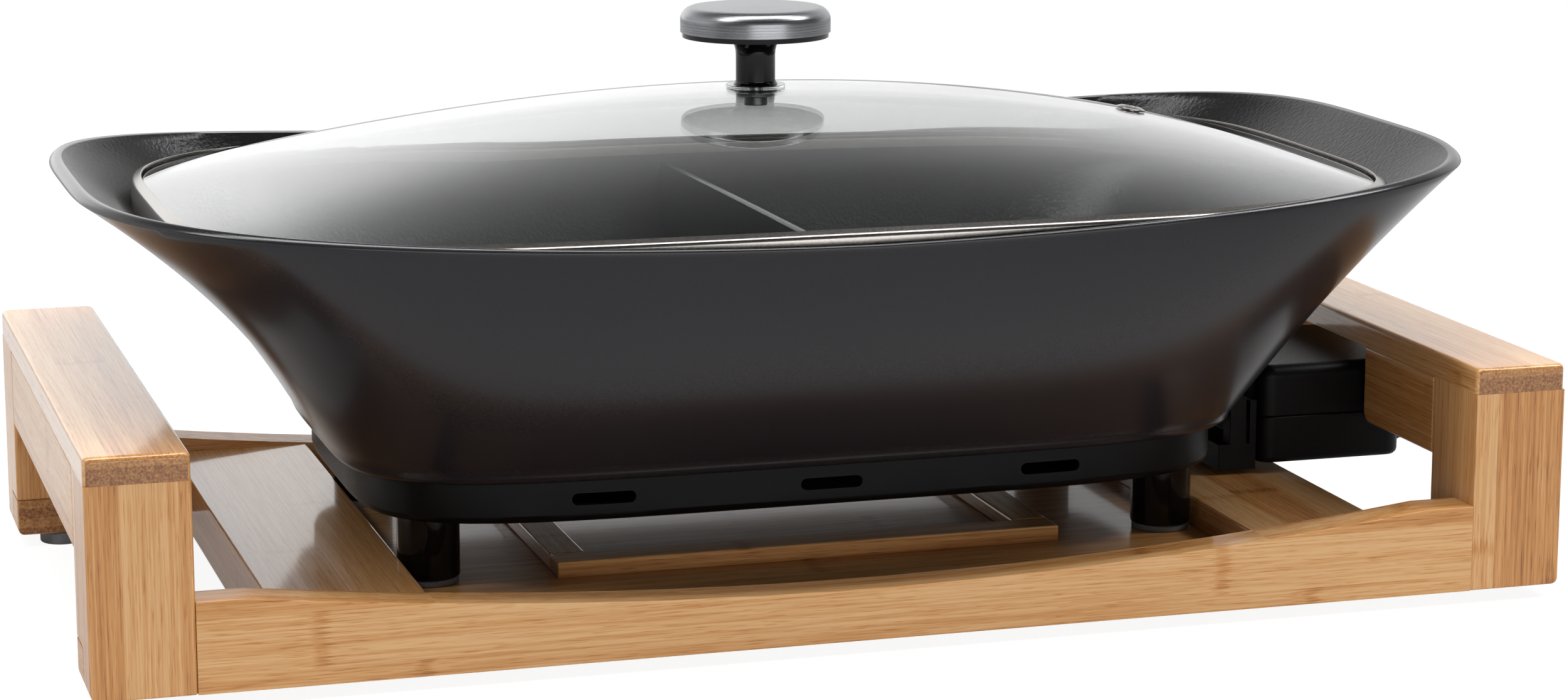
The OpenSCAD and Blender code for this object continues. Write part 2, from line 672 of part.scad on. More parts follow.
// Steel cap over the core
module knob_cap() color("silver") {
    t = 1.2;
    r = 5;
    top = knob_cap_h;
    translate([0, 0, knob_z + stem_h + 2]) rotate_extrude() polygon(concat([[knob_r - t, 0], [knob_r, 0]],
        [for (a = [0 : 15 : 90]) [knob_r - r + r * cos(a), top - r + r * sin(a)]],
        [[0, top + 0.4], [0, top - t + 0.4]],
        [for (a = [90 : -15 : 0]) [knob_r - r + (r - t) * cos(a), top - r + (r - t) * sin(a)]]));
}

module knob_seal() color("white") translate([0, 0, apex_z]) difference() {
    cylinder(h = knob_z - apex_z, r = stem_r + 3.8);
    bar_z(0, 0, -cut, knob_z, 2.6);
}

module knob_washer() color("silver") translate([0, 0, washer_z]) difference() {
    cylinder(h = 1.2, r = 8);
    bar_z(0, 0, -cut, 2, 2.6);
}

module knob_screw() color("silver") union() {
    bar_z(0, 0, washer_z - 2.8, washer_z, 4.5);
    bar_z(0, 0, washer_z, knob_z + stem_h - 6, 2.4);
}

// Controller
// Places of the shell screws
module at_shell_screws() {
    for (x = [ctrl_x0 + 8, ctrl_x1 - 8]) for (s = [-1, 1]) translate([x, s * screw_y, 0]) children();
}

// Loop of the housing outline drawn in by an inset
function ctrl_loop(z, inset) =
    round_loop((ctrl_x0 + ctrl_x1) / 2, 0, z, ctrl_l - 2 * inset, ctrl_w - 2 * inset, ctrl_round - inset);

// Holes through both shells for the contacts, the probe and the shaft
module shell_holes() {
    for (s = [-1, 1]) bar_x(ctrl_x0 - cut, cave_x0 + cut, s * pin_y, pin_z, contact_r + 0.8 + pin_fit);
    bar_x(ctrl_x0 - cut, cave_x0 + cut, 0, pin_z, probe_r + pin_fit);
    bar_x(cave_x1 - cut, ctrl_x1 + cut, 0, split_z, shaft_r + run_gap);
}

module controller_upper() color("black") difference() {
    loft(concat([ctrl_loop(split_z, 0.5), ctrl_loop(split_z + 0.5, 0)],
        [for (a = [0 : 18 : 90]) ctrl_loop(ctrl_top - ctrl_top_round * (1 - sin(a)),
            ctrl_top_round * (1 - cos(a)))]));
    box([cave_x0, -cave_y, split_z - cut], [cave_x1, cave_y, ctrl_top - 4]);
    shell_holes();
    bar_x(cave_x1 - cut, ctrl_x1 + cut, -gland_y, lens_z, 3.5 + pin_fit);
    at_shell_screws() bar_z(0, 0, split_z - cut, split_z + 11, 1.5 + pin_fit);
}

module controller_lower() color("black") difference() {
    r = 2.5;
    loft(concat([for (a = [0 : 30 : 90]) ctrl_loop(ctrl_z + r * (1 - cos(a)), r * (1 - sin(a)))],
        [ctrl_loop(split_z - 0.5, 0), ctrl_loop(split_z, 0.5)]));
    box([cave_x0, -cave_y, ctrl_z + 4], [cave_x1, cave_y, split_z + cut]);
    shell_holes();
    bar_x(cave_x1 - cut, ctrl_x1 + cut, gland_y, gland_z, 5.5 + pin_fit);
    at_shell_screws() {
        bar_z(0, 0, ctrl_z - cut, split_z + cut, 1.5 + pin_fit);
        bar_z(0, 0, ctrl_z - cut, ctrl_z + 6, 3.2);
    }
}

// Front of the controller: plate, ledge, guard ribs and the boss that takes the pins
module plug_nose() color("black") {
    z0 = plank_z + nose_lift;
    y1 = ctrl_w / 2 - 3;
    difference() {
        union() {
            box([ctrl_x0 - 3, -y1, z0], [ctrl_x0, y1, pin_z + 5]);
            box([nose_x, -y1, z0], [ctrl_x0, y1, z0 + 10.7]);
            for (s = [-1, 1]) translate([nose_x + 4.7, s * (y1 - 3.5) - 3.5, z0])
                cube([7, 7, pin_z + 6.5 - z0]);
            box([skirt_l + 2, -pin_y - 6, pin_z - 7], [ctrl_x0, pin_y + 6, pin_z + 5]);
        }
        for (s = [-1, 1]) bar_x(skirt_l, ctrl_x0 + cut, s * pin_y, pin_z, contact_r + 0.8 + pin_fit);
        bar_x(skirt_l, ctrl_x0 + cut, 0, pin_z, probe_r + pin_fit);
    }
}

module contact_sleeves() color("gold") difference() {
    for (s = [-1, 1]) bar_x(skirt_l + 3, cave_x0, s * pin_y, pin_z, contact_r + 0.8);
    for (s = [-1, 1]) bar_x(skirt_l + 2, cave_x0 + cut, s * pin_y, pin_z, contact_r);
}

module probe() color("silver") bar_x(sleeve_x + 4, cave_x0, 0, pin_z, probe_r);

module thermostat_block() color("saddlebrown") difference() {
    box([cave_x0 + 0.3, -pin_y - 7, ctrl_z + 4], [cave_x0 + stat_l, pin_y + 7, pin_z + 6]);
    box([cave_x0 + 12, -pin_y - 8, pin_z + 1], [cave_x0 + 20, pin_y + 8, pin_z + 7]);
}

module cord_gland() color("black") difference() {
    union() {
        bar_x(cave_x1, ctrl_x1, gland_y, gland_z, 5.5);
        bar_x(ctrl_x1, ctrl_x1 + 2.5, gland_y, gland_z, 7.5);
        for (i = [0 : 2])
            bar_x(ctrl_x1 + 2.5 + 3 * i, ctrl_x1 + 4.5 + 3 * i, gland_y, gland_z, 6.2 - 0.4 * i);
        bar_x(ctrl_x1 + 2.5, ctrl_x1 + 11, gland_y, gland_z, 4.9);
    }
    bar_x(cave_x1 - cut, ctrl_x1 + 12, gland_y, gland_z, cord_r);
}

module lamp_lens() color("red", 0.7) bar_x(ctrl_x1 - 5, ctrl_x1 + 1.2, -gland_y, lens_z, 3.5);

module neon_lamp() color("orange") bar_x(cave_x1, ctrl_x1 - 5, -gland_y, lens_z, 3.3);

module controller_screws() color("silver") at_shell_screws() union() {
    bar_z(0, 0, ctrl_z + 4, ctrl_z + 6, 2.8);
    bar_z(0, 0, ctrl_z + 6, split_z + 10, 1.5);
}

// Dial with a fluted grip and a pointer ridge
module dial() color("black") difference() {
    x0 = ctrl_x1 + run_gap;
    x1 = ctrl_x1 + dial_l;
    union() {
        bar_x(x0, x0 + 3, 0, split_z, dial_r);
        bar_x(x0 + 3, x1 - 1.5, 0, split_z, dial_r - 3);
        box([x1 - 1.5, -1.6, split_z], [x1, 1.6, split_z + dial_r - 4]);
    }
    for (i = [0 : 19]) translate([x0 + 3, 0, split_z]) rotate([18 * i + 9, 0, 0])
        translate([0, 0, dial_r - 2.4]) rotate([0, 90, 0]) cylinder(h = dial_l, r = 1.3, $fn = 24);
    bar_x(x0 - cut, x1 - 5, 0, split_z, shaft_r + 0.05);
}

// Shaft with a collar behind the end wall of the housing
module dial_shaft() color("silver") union() {
    bar_x(cave_x0 + 30 + run_gap, ctrl_x1 + dial_l - 5, 0, split_z, shaft_r);
    bar_x(cave_x1 - 3, cave_x1 - run_gap, 0, split_z, shaft_r + 2);
}

handle_cap_left();
handle_cap_right();
post_front_left();
post_rear_left();
post_front_right();
post_rear_right();
apron_left();
apron_front_right();
apron_rear_right();
front_rail();
rear_rail();
plank_left();
plank_right();
base_board();
ring_strip_front();
ring_strip_rear();
ring_strip_left();
ring_strip_right();
foot_blocks();
stand_feet();
stand_foot_screws();
cap_dowels();
rail_dowels();
pan();
pan_floor();
divider();
base_skirt();
bottom_cover();
heating_element();
reflector_plate();
pan_studs();
terminal_block();
inlet_pins();
probe_sleeve();
thermal_fuse();
pan_legs();
leg_pads();
leg_screws();
lid_glass();
lid_band();
vent_grommet();
knob_body();
knob_cap();
knob_seal();
knob_washer();
knob_screw();
controller_upper();
controller_lower();
plug_nose();
contact_sleeves();
probe();
thermostat_block();
cord_gland();
lamp_lens();
neon_lamp();
controller_screws();
dial();
dial_shaft();
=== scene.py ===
"""Looks of an electric skillet on its bamboo stand. Sizes in the shape functions are millimetres."""

import json
import math

import bmesh
import bpy
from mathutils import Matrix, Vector


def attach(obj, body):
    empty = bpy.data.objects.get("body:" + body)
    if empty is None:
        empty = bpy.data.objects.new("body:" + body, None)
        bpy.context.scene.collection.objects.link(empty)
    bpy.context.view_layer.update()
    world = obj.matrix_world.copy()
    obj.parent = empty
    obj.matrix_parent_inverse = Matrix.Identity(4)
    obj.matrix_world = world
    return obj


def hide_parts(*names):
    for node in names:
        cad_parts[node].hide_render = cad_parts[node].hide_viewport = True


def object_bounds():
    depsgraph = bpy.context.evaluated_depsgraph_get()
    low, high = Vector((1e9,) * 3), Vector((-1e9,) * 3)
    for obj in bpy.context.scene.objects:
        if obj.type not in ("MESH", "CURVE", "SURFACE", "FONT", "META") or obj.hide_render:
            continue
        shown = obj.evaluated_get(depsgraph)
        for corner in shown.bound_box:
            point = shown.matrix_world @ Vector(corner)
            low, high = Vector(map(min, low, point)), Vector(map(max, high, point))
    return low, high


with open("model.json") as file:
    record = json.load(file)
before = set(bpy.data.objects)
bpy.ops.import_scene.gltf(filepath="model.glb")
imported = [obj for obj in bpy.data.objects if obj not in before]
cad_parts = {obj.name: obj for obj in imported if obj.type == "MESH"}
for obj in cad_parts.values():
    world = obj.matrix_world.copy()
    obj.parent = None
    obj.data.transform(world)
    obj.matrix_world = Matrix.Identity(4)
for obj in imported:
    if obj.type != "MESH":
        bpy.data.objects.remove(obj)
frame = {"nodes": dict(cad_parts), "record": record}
cad_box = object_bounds()
nodes = frame["nodes"]
BODY_OF = {n: b for b, names in frame["record"]["behaviour"]["bodies"].items() for n in names}


# Small helpers
def colour(code):
    """Linear colour of an sRGB hex code."""
    parts = [int(code[i : i + 2], 16) / 255 for i in (1, 3, 5)]
    return [c / 12.92 if c <= 0.04045 else ((c + 0.055) / 1.055) ** 2.4 for c in parts] + [1.0]


def add(tree, kind, inputs=None, stops=(), **settings):
    """Node with its settings. An input is a value, an output, or a node whose first output is linked.
    Stops are the places and hex colours of a colour ramp."""
    node = tree.nodes.new(kind)
    for key, value in settings.items():
        setattr(node, key, value)
    for key, value in (inputs or {}).items():
        if isinstance(value, bpy.types.Node):
            value = value.outputs[0]
        if isinstance(value, bpy.types.NodeSocket):
            tree.links.new(value, node.inputs[key])
        else:
            node.inputs[key].default_value = value
    for at, code in stops[2:]:
        node.color_ramp.elements.new(at)
    for k, (at, code) in enumerate(stops):
        node.color_ramp.elements[k].position = at
        node.color_ramp.elements[k].color = colour(code)
    return node


def new_material(name):
    """Material with an empty node tree, and its output node."""
    material = bpy.data.materials.new(name)
    material.use_nodes = True
    material.node_tree.nodes.clear()
    return material, material.node_tree, add(material.node_tree, "ShaderNodeOutputMaterial")


MATH, VECTOR, NOISE, RANGE = (
    "ShaderNodeMath", "ShaderNodeVectorMath", "ShaderNodeTexNoise", "ShaderNodeMapRange")
SOFT = "SMOOTHSTEP"


# Materials
def bamboo(name, grain, across, ply, strip_mm, ply_mm, seed, coat):
    """Laminated bamboo, planed and lacquered: long fine fibres with short dark vessels, strips of slightly
    different tone with a frayed knuckle now and then, speckles where the fibres are cut across, and a gloss.
    The axes of the fibres, the strips and the plies are 0 to 2."""
    material, tree, out = new_material(name)
    place = add(tree, "ShaderNodeTexCoord").outputs["Object"]
    at = add(tree, "ShaderNodeSeparateXYZ", {0: place}).outputs
    # In this frame the fibres run along the first axis
    timber = add(tree, "ShaderNodeCombineXYZ", {0: at[grain], 1: at[across], 2: at[ply]})
    moved = add(tree, VECTOR, {0: timber, 1: (50, 0.00013 * seed * strip_mm, 0)}, operation="ADD")
    cell = add(tree, VECTOR, {0: moved, 1: (100, strip_mm / 1000, ply_mm / 1000)}, operation="SNAP")
    strip = add(tree, "ShaderNodeTexWhiteNoise", {"Vector": cell, "W": seed}, noise_dimensions="4D").outputs
    fibres = add(tree, VECTOR, {0: strip["Color"], 1: (3.7, 0, 0), 2: timber}, operation="MULTIPLY_ADD")
    # Fibres 0.8 mm wide and 50 mm long, streaks 5 mm wide and 250 mm long, vessels 0.5 mm wide and 12 mm long
    fine_at = add(tree, VECTOR, {0: fibres, 1: (20, 1200, 1200)}, operation="MULTIPLY")
    fine = add(tree, NOISE, {"Vector": fine_at, "Scale": 1, "Detail": 2})
    broad_at = add(tree, VECTOR, {0: fibres, 1: (4, 200, 200)}, operation="MULTIPLY")
    broad = add(tree, NOISE, {"Vector": broad_at, "Scale": 1, "Detail": 1})
    vessel_at = add(tree, VECTOR, {0: fibres, 1: (80, 2000, 2000)}, operation="MULTIPLY")
    vessel = add(tree, NOISE, {"Vector": vessel_at, "Scale": 1, "Detail": 1})
    # A knuckle crosses each strip every 340 mm, 4 mm wide, and frays into vessels for 20 mm on both sides
    along = add(tree, "ShaderNodeSeparateXYZ", {0: fibres})
    bent = add(tree, MATH, {0: fine, 1: 0.012, 2: along}, operation="MULTIPLY_ADD")
    gap = add(tree, MATH, {0: bent, 1: 0.17}, operation="PINGPONG")
    knuckle = add(tree, RANGE, {"Value": gap, 1: 0.001, 2: 0.004, 3: 1, 4: 0}, interpolation_type=SOFT)
    frayed = add(tree, RANGE, {"Value": gap, 1: 0.003, 2: 0.02, 3: 1, 4: 0})
    torn = add(tree, MATH, {0: frayed, 1: 0.07, 2: vessel}, operation="MULTIPLY_ADD")
    dash = add(tree, RANGE, {"Value": torn, 1: 0.57, 2: 0.68})
    value = add(tree, MATH, {0: fine, 1: 0.95, 2: -0.17}, operation="MULTIPLY_ADD")
    for part, share in ((broad, 0.45), (strip["Value"], 0.34), (knuckle, -0.2), (dash, -0.25)):
        value = add(tree, MATH, {0: part, 1: share, 2: value}, operation="MULTIPLY_ADD")
    face = add(tree, "ShaderNodeValToRGB", {0: value}, (
        (0.05, "#845125"), (0.38, "#b87b41"), (0.62, "#cf9558"), (0.95, "#dfb17b")))
    # Cut fibre ends about 1 mm across, with every other ply darker
    speck = add(tree, NOISE, {"Vector": place, "Scale": 1100, "Detail": 1})
    turn = add(tree, MATH, {0: at[ply], 1: 0.002 * ply_mm}, operation="FLOORED_MODULO")
    other = add(tree, MATH, {0: turn, 1: 0.001 * ply_mm}, operation="GREATER_THAN")
    shade = add(tree, MATH, {0: other, 1: -0.26, 2: -0.2}, operation="MULTIPLY_ADD")
    cut_value = add(tree, MATH, {0: speck, 1: 1.5, 2: shade}, operation="MULTIPLY_ADD")
    cut = add(tree, "ShaderNodeValToRGB", {0: cut_value}, (
        (0.05, "#7c4c25"), (0.45, "#a87340"), (0.9, "#c69257")))
    facing = add(tree, "ShaderNodeSeparateXYZ", {0: add(tree, "ShaderNodeNewGeometry").outputs["Normal"]})
    end = add(tree, MATH, {0: facing.outputs[grain]}, operation="ABSOLUTE")
    end = add(tree, MATH, {0: end, 1: 0.75}, operation="GREATER_THAN")
    base = add(tree, "ShaderNodeMix", {0: end, 6: face, 7: cut}, data_type="RGBA").outputs[2]
    rough = add(tree, RANGE, {"Value": fine, 3: 0.5, 4: 0.36})
    bump = add(tree, "ShaderNodeBump", {"Height": fine, "Strength": 0.1, "Distance": 0.0003})
    lacquer = add(tree, "ShaderNodeBump", {"Height": fine, "Strength": 0.04, "Distance": 0.0003})
    shader = add(tree, "ShaderNodeBsdfPrincipled", {
        "Base Color": base, "Roughness": rough, "Normal": bump, "Coat Weight": coat, "Coat Roughness": 0.09,
        "Coat Normal": lacquer, "Specular IOR Level": 0.25})
    tree.links.new(shader.outputs[0], out.inputs["Surface"])
    return material


def grained(name, dark, light, grain_mm, rough, bump_mm, **sockets):
    """Surface with a fine even grain: colour, roughness and relief vary over grains of that size."""
    material, tree, out = new_material(name)
    at = add(tree, "ShaderNodeTexCoord").outputs["Object"]
    grain = add(tree, NOISE, {"Vector": at, "Scale": 1000 / grain_mm, "Detail": 2})
    cloud = add(tree, NOISE, {"Vector": at, "Scale": 9, "Detail": 2})
    cloudy = add(tree, MATH, {0: cloud, 1: 0.4}, operation="MULTIPLY")
    value = add(tree, MATH, {0: grain, 1: 0.6, 2: cloudy}, operation="MULTIPLY_ADD")
    tint = add(tree, "ShaderNodeValToRGB", {0: value}, ((0.3, dark), (0.7, light)))
    roughness = add(tree, RANGE, {"Value": value, 1: 0.3, 2: 0.7, 3: rough[0], 4: rough[1]})
    bump = add(tree, "ShaderNodeBump", {"Height": grain, "Strength": 0.5, "Distance": bump_mm / 1000})
    inputs = {"Base Color": tint, "Roughness": roughness, "Normal": bump}
    inputs.update({key.replace("_", " "): number for key, number in sockets.items()})
    shader = add(tree, "ShaderNodeBsdfPrincipled", inputs)
    tree.links.new(shader.outputs[0], out.inputs["Surface"])
    return material


def turned_steel(name, dark, light, rough, line_mm):
    """Metal finished on a lathe: fine rings round an upright axis catch the light as a soft band."""
    material, tree, out = new_material(name)
    at = add(tree, "ShaderNodeTexCoord").outputs["Object"]
    part = add(tree, "ShaderNodeSeparateXYZ", {0: at}).outputs
    flat = add(tree, "ShaderNodeCombineXYZ", {0: part[0], 1: part[1]})
    radius = add(tree, VECTOR, {0: flat}, operation="LENGTH").outputs["Value"]
    rings = add(tree, "ShaderNodeCombineXYZ", {0: radius, 2: part[2]})
    line = add(tree, NOISE, {"Vector": rings, "Scale": 1000 / line_mm, "Detail": 2})
    tint = add(tree, "ShaderNodeValToRGB", {0: line}, ((0.3, dark), (0.7, light)))
    roughness = add(tree, RANGE, {"Value": line, 3: rough - 0.06, 4: rough + 0.06})
    bump = add(tree, "ShaderNodeBump", {"Height": line, "Strength": 0.25, "Distance": 0.0002})
    shader = add(tree, "ShaderNodeBsdfPrincipled", {
        "Base Color": tint, "Metallic": 1, "Roughness": roughness, "Normal": bump})
    tree.links.new(shader.outputs[0], out.inputs["Surface"])
    return material


def clear_glass(name):
    """Tempered soda-lime glass: colourless, sharp reflections, and lamps shine through it."""
    material, tree, out = new_material(name)
    at = add(tree, "ShaderNodeTexCoord").outputs["Object"]
    # Faint waves of the bent sheet, about 60 mm long
    wave = add(tree, NOISE, {"Vector": at, "Scale": 16, "Detail": 0})
    bump = add(tree, "ShaderNodeBump", {"Height": wave, "Strength": 0.03, "Distance": 0.002})
    glass = add(tree, "ShaderNodeBsdfPrincipled", {
        "Base Color": colour("#eceeed"), "Roughness": 0, "IOR": 1.5, "Transmission Weight": 1,
        "Normal": bump})
    through = add(tree, "ShaderNodeBsdfTransparent", {"Color": colour("#f0f3f2")})
    path = add(tree, "ShaderNodeLightPath").outputs
    lamp = add(tree, MATH, {0: path["Is Shadow Ray"], 1: path["Is Diffuse Ray"]}, operation="MAXIMUM")
    mixed = add(tree, "ShaderNodeMixShader", {0: lamp, 1: glass, 2: through})
    tree.links.new(mixed.outputs[0], out.inputs["Surface"])
    return material


# Bamboo in each way the timber is laid, with strips about 20 mm wide
BAMBOO_UPRIGHT = bamboo("lacquered_bamboo_upright", 2, 0, 1, 20, 37, 3, 0.5)
BAMBOO_HANDLE = bamboo("lacquered_bamboo_handle", 1, 0, 2, 18.5, 7.3, 5, 0.9)
BAMBOO_APRON = bamboo("lacquered_bamboo_apron", 1, 2, 0, 20, 37, 8, 0.5)
BAMBOO_RAIL = bamboo("lacquered_bamboo_rail", 0, 2, 1, 20, 8, 11, 0.35)
BAMBOO_BOARD = bamboo("lacquered_bamboo_board", 0, 1, 2, 20, 5, 14, 0.4)
BAMBOO_PLANK = bamboo("lacquered_bamboo_plank", 1, 0, 2, 20, 8, 17, 0.9)
BAMBOO_BLOCK = bamboo("lacquered_bamboo_block", 1, 0, 2, 20, 4, 20, 0.4)
# Cast aluminium under a satin charcoal coating, smooth outside, with a pebble inside and a brighter edge
PAN_OUTSIDE = grained(
    "satin_coated_aluminium", "#19181c", "#1f1e22", 0.8, (0.2, 0.26), 0.004, Specular_IOR_Level=0.3)
PAN_INSIDE = grained(
    "nonstick_coating", "#060606", "#101010", 1.6, (0.3, 0.4), 0.5, Specular_IOR_Level=0.4)
PAN_RIM = grained("coated_aluminium_edge", "#1e1e20", "#29292b", 0.8, (0.16, 0.22), 0.006)
# Moulded plastics: spark-eroded grain on the base and controller, polished on the knob, legs and dial
MATTE_BLACK = grained(
    "moulded_black_plastic", "#040405", "#080809", 0.9, (0.36, 0.48), 0.04, Specular_IOR_Level=0.12)
GLOSS_BLACK = grained(
    "polished_black_plastic", "#070708", "#0c0c0d", 3, (0.06, 0.1), 0.002, Specular_IOR_Level=0.3)
BROWN_PHENOLIC = grained("moulded_phenolic", "#2c1a10", "#3c2416", 0.8, (0.4, 0.5), 0.02)
# Rubber feet and pads, the clear seal under the knob, and the metals, lens and ink
GREY_RUBBER = grained("grey_rubber", "#6a6c70", "#84868a", 0.7, (0.6, 0.75), 0.05)
SEAL = grained(
    "clear_silicone", "#f2f4f3", "#f8faf9", 1.5, (0.08, 0.14), 0.01, Transmission_Weight=0.95, IOR=1.2)
KNOB_STEEL = turned_steel("turned_stainless_steel", "#808185", "#a0a1a4", 0.28, 0.35)
BAND_STEEL = grained("rolled_stainless_steel", "#8f8b87", "#aaa5a0", 0.8, (0.18, 0.26), 0.001, Metallic=1)
FIXING_STEEL = turned_steel("zinc_plated_steel", "#8d9092", "#a8abad", 0.34, 0.5)
BRASS = turned_steel("drawn_brass", "#a8823f", "#c29c55", 0.28, 0.5)
ALUMINIUM = turned_steel("mill_finish_aluminium", "#a5a6a8", "#c0c1c3", 0.38, 0.8)
CERAMIC = grained("unglazed_steatite", "#cfc6b4", "#ded6c6", 0.8, (0.6, 0.75), 0.03)
RED_LENS = grained("red_polycarbonate", "#a31710", "#c22a1c", 2, (0.08, 0.14), 0.002)
GLASS = clear_glass("tempered_glass")
TICK_WHITE = grained("printed_white_ink", "#c9c9c7", "#d8d8d6", 0.5, (0.5, 0.6), 0.01)


# Meshes
NEAR = 1e-4  # Points this close to a plane, in metres, lie on it
SHORT = 0.004  # Shorter edges, in metres, are parts of a hole's rim
CORNER = 35  # Faces that turn by more degrees meet in an edge
ROUND_MM = 3.2  # Rounding of the stand's outer corners
LESS = 0.33  # Share of that rounding on its other corners


def new_piece(name, mesh):
    """Object at the origin for a mesh in the shared frame."""
    piece = bpy.data.objects.new(name, mesh)
    bpy.context.scene.collection.objects.link(piece)
    return piece


def smooth(mesh, degrees):
    """Smooth shading with sharp edges kept above an angle."""
    mesh.polygons.foreach_set("use_smooth", [True] * len(mesh.polygons))
    mesh.set_sharp_from_angle(angle=math.radians(degrees))


def stand_for(piece, *names):
    """The piece moves with the body of CAD nodes and is shown in their place."""
    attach(piece, BODY_OF[names[0]])
    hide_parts(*names)


def weigh_outside(shape):
    """Edge weights: full on the stand's outer upright corners and outer foot, less on other corners, and none
    on top or in holes."""
    foot, top = (pick(v.co.z for v in shape.verts) for pick in (min, max))
    weight = shape.edges.layers.float.new("bevel_weight_edge")
    for edge in shape.edges:
        ends = [v.co for v in edge.verts]
        side = all(abs(end.x) > cad_box[1][0] - NEAR for end in ends)
        front = all(abs(end.y) > cad_box[1][1] - NEAR for end in ends)
        below = all(end.z < foot + NEAR for end in ends)
        above = all(end.z > top - NEAR for end in ends)
        if edge.calc_face_angle(0) > math.radians(CORNER) and edge.calc_length() > SHORT and not above:
            edge[weight] = 1 if side and (front or below) else LESS


def dress(name, material, bevel_mm=0.0, degrees=CORNER, weigh=None):
    """Welded copy of a CAD node with eased edges and its own finish. If given, weigh shares out the bevel."""
    mesh = nodes[name].data.copy()
    mesh.transform(nodes[name].matrix_world)
    shape = bmesh.new()
    shape.from_mesh(mesh)
    bmesh.ops.remove_doubles(shape, verts=shape.verts, dist=2e-6)
    bmesh.ops.dissolve_limit(shape, angle_limit=0.004, verts=shape.verts, edges=shape.edges)
    if weigh:
        weigh(shape)
    shape.to_mesh(mesh)
    shape.free()
    mesh.materials.clear()
    mesh.materials.append(material)
    piece = new_piece("dressed_" + name, mesh)
    smooth(mesh, degrees)
    if bevel_mm:
        bevel = piece.modifiers.new("eased_edges", "BEVEL")
        bevel.width = bevel_mm / 1000
        bevel.segments = 4 if weigh else 3
        bevel.limit_method = "WEIGHT" if weigh else "ANGLE"
        bevel.use_clamp_overlap = not weigh
        bevel.angle_limit = math.radians(degrees)
    even = piece.modifiers.new("even_normals", "WEIGHTED_NORMAL")
    even.keep_sharp = True
    piece_mesh = bpy.data.meshes.new_from_object(piece.evaluated_get(bpy.context.evaluated_depsgraph_get()))
    piece.modifiers.clear()
    piece.data = piece_mesh
    stand_for(piece, name)


def loft(name, loops, closed, materials, slot_of):
    """Mesh through loops of points in millimetres. A closed one joins its last loop to its first."""
    count, last = len(loops[0]), len(loops) - 1
    points = [[c / 1000 for c in point] for loop in loops for point in loop]
    faces, slots = [], []
    for k in range(last + 1 if closed else last):
        n = (k + 1) % len(loops)
        for i in range(count):
            j = (i + 1) % count
            faces.append((k * count + i, k * count + j, n * count + j, n * count + i))
            slots.append(slot_of(k))
    if not closed:
        faces.append(tuple(range(count - 1, -1, -1)))
        faces.append(tuple(last * count + i for i in range(count)))
        slots += [slot_of(0), slot_of(last - 1)]
    mesh = bpy.data.meshes.new(name)
    mesh.from_pydata(points, [], faces)
    for material in materials:
        mesh.materials.append(material)
    mesh.polygons.foreach_set("material_index", slots)
    mesh.update()
    return new_piece(name, mesh)


# Shape of the pan and lid, from the same rule as the solids
PAN_Z, FLOOR_Z, WALL = 62.0, 66.0, 4.0
FOOT_OUT, FOOT_IN = 4.5, 12  # Rounding at the foot of the wall, outside and inside
BASE_L, RIM_L, BASE_W, RIM_W = 174.8, 268.8, 103, 156  # Half sizes at the foot and at the rim
BASE_SQUARE, RIM_SQUARE = 5, 3.7  # Higher is squarer, and 2 is round
SEGMENTS = 192
STEPS = 30  # Loops up the wall
TURN = [2 * math.pi * i / SEGMENTS for i in range(SEGMENTS)]


def mix(a, b, t):
    """Number at a share t of the way from a to b."""
    return a + (b - a) * t


def squared(angle, n):
    """Point of a squared circle of half size 1."""
    c, s = math.cos(angle), math.sin(angle)
    u, v = abs(c) ** 0.75, abs(s) ** 0.75
    k = (u**n + v**n) ** (1 / n)
    return math.copysign(u / k, c), math.copysign(v / k, s)


def ear(angle):
    """How far the rim has swept up, 0 in the middle of the sides and 1 at the ends."""
    return abs(squared(angle, RIM_SQUARE)[0]) ** 1.63


def rim_height(angle):
    """Height of the rim above the pan's bottom."""
    return mix(91.6, 105.4, ear(angle))


def edge_height(angle):
    """Height of the slanted edge of the rim."""
    return mix(0.8, 2.8, ear(angle))


def pan_point(angle, z, inset, drop=0.0):
    """Point of the pan's wall at a height, moved inwards by an inset. The wall ends a drop below the rim."""
    t = (z - PAN_Z) / (rim_height(angle) - drop)
    u, v = squared(angle, mix(BASE_SQUARE, RIM_SQUARE, t))
    length = mix(BASE_L, RIM_L, 0.64 * t + 0.36 * max(t, 0) ** 2.63)
    width = mix(BASE_W, RIM_W, 1 - abs(1 - t) ** 1.6)
    return (length - inset) * u, (width - inset) * v, z


def inner_loop(share, drop):
    """Loop on the inside of the wall, lowered by a drop."""
    return [pan_point(a, mix(FLOOR_Z + FOOT_IN, PAN_Z + rim_height(a), share) - drop, WALL) for a in TURN]


def outer_loop(share):
    """Loop on the outside of the wall, which ends under the slanted edge."""
    loop = []
    for a in TURN:
        drop = edge_height(a)
        loop.append(pan_point(a, mix(PAN_Z + FOOT_OUT, PAN_Z + rim_height(a) - drop, share), 0, drop))
    return loop


def edge_loop(inset, drop):
    """Loop on the slanted edge, placed in shares of its height."""
    loop = []
    for a in TURN:
        x, y, z = pan_point(a, PAN_Z + rim_height(a), inset * edge_height(a))
        loop.append((x, y, z - drop * edge_height(a)))
    return loop


def foot_loop(bottom, radius, turn, inset):
    """Loop on the rounding at the foot of the wall."""
    a = math.radians(turn)
    edge = [pan_point(t, bottom + radius, inset + radius * (1 - math.sin(a))) for t in TURN]
    return [(x, y, bottom + radius * (1 - math.cos(a))) for x, y, z in edge]


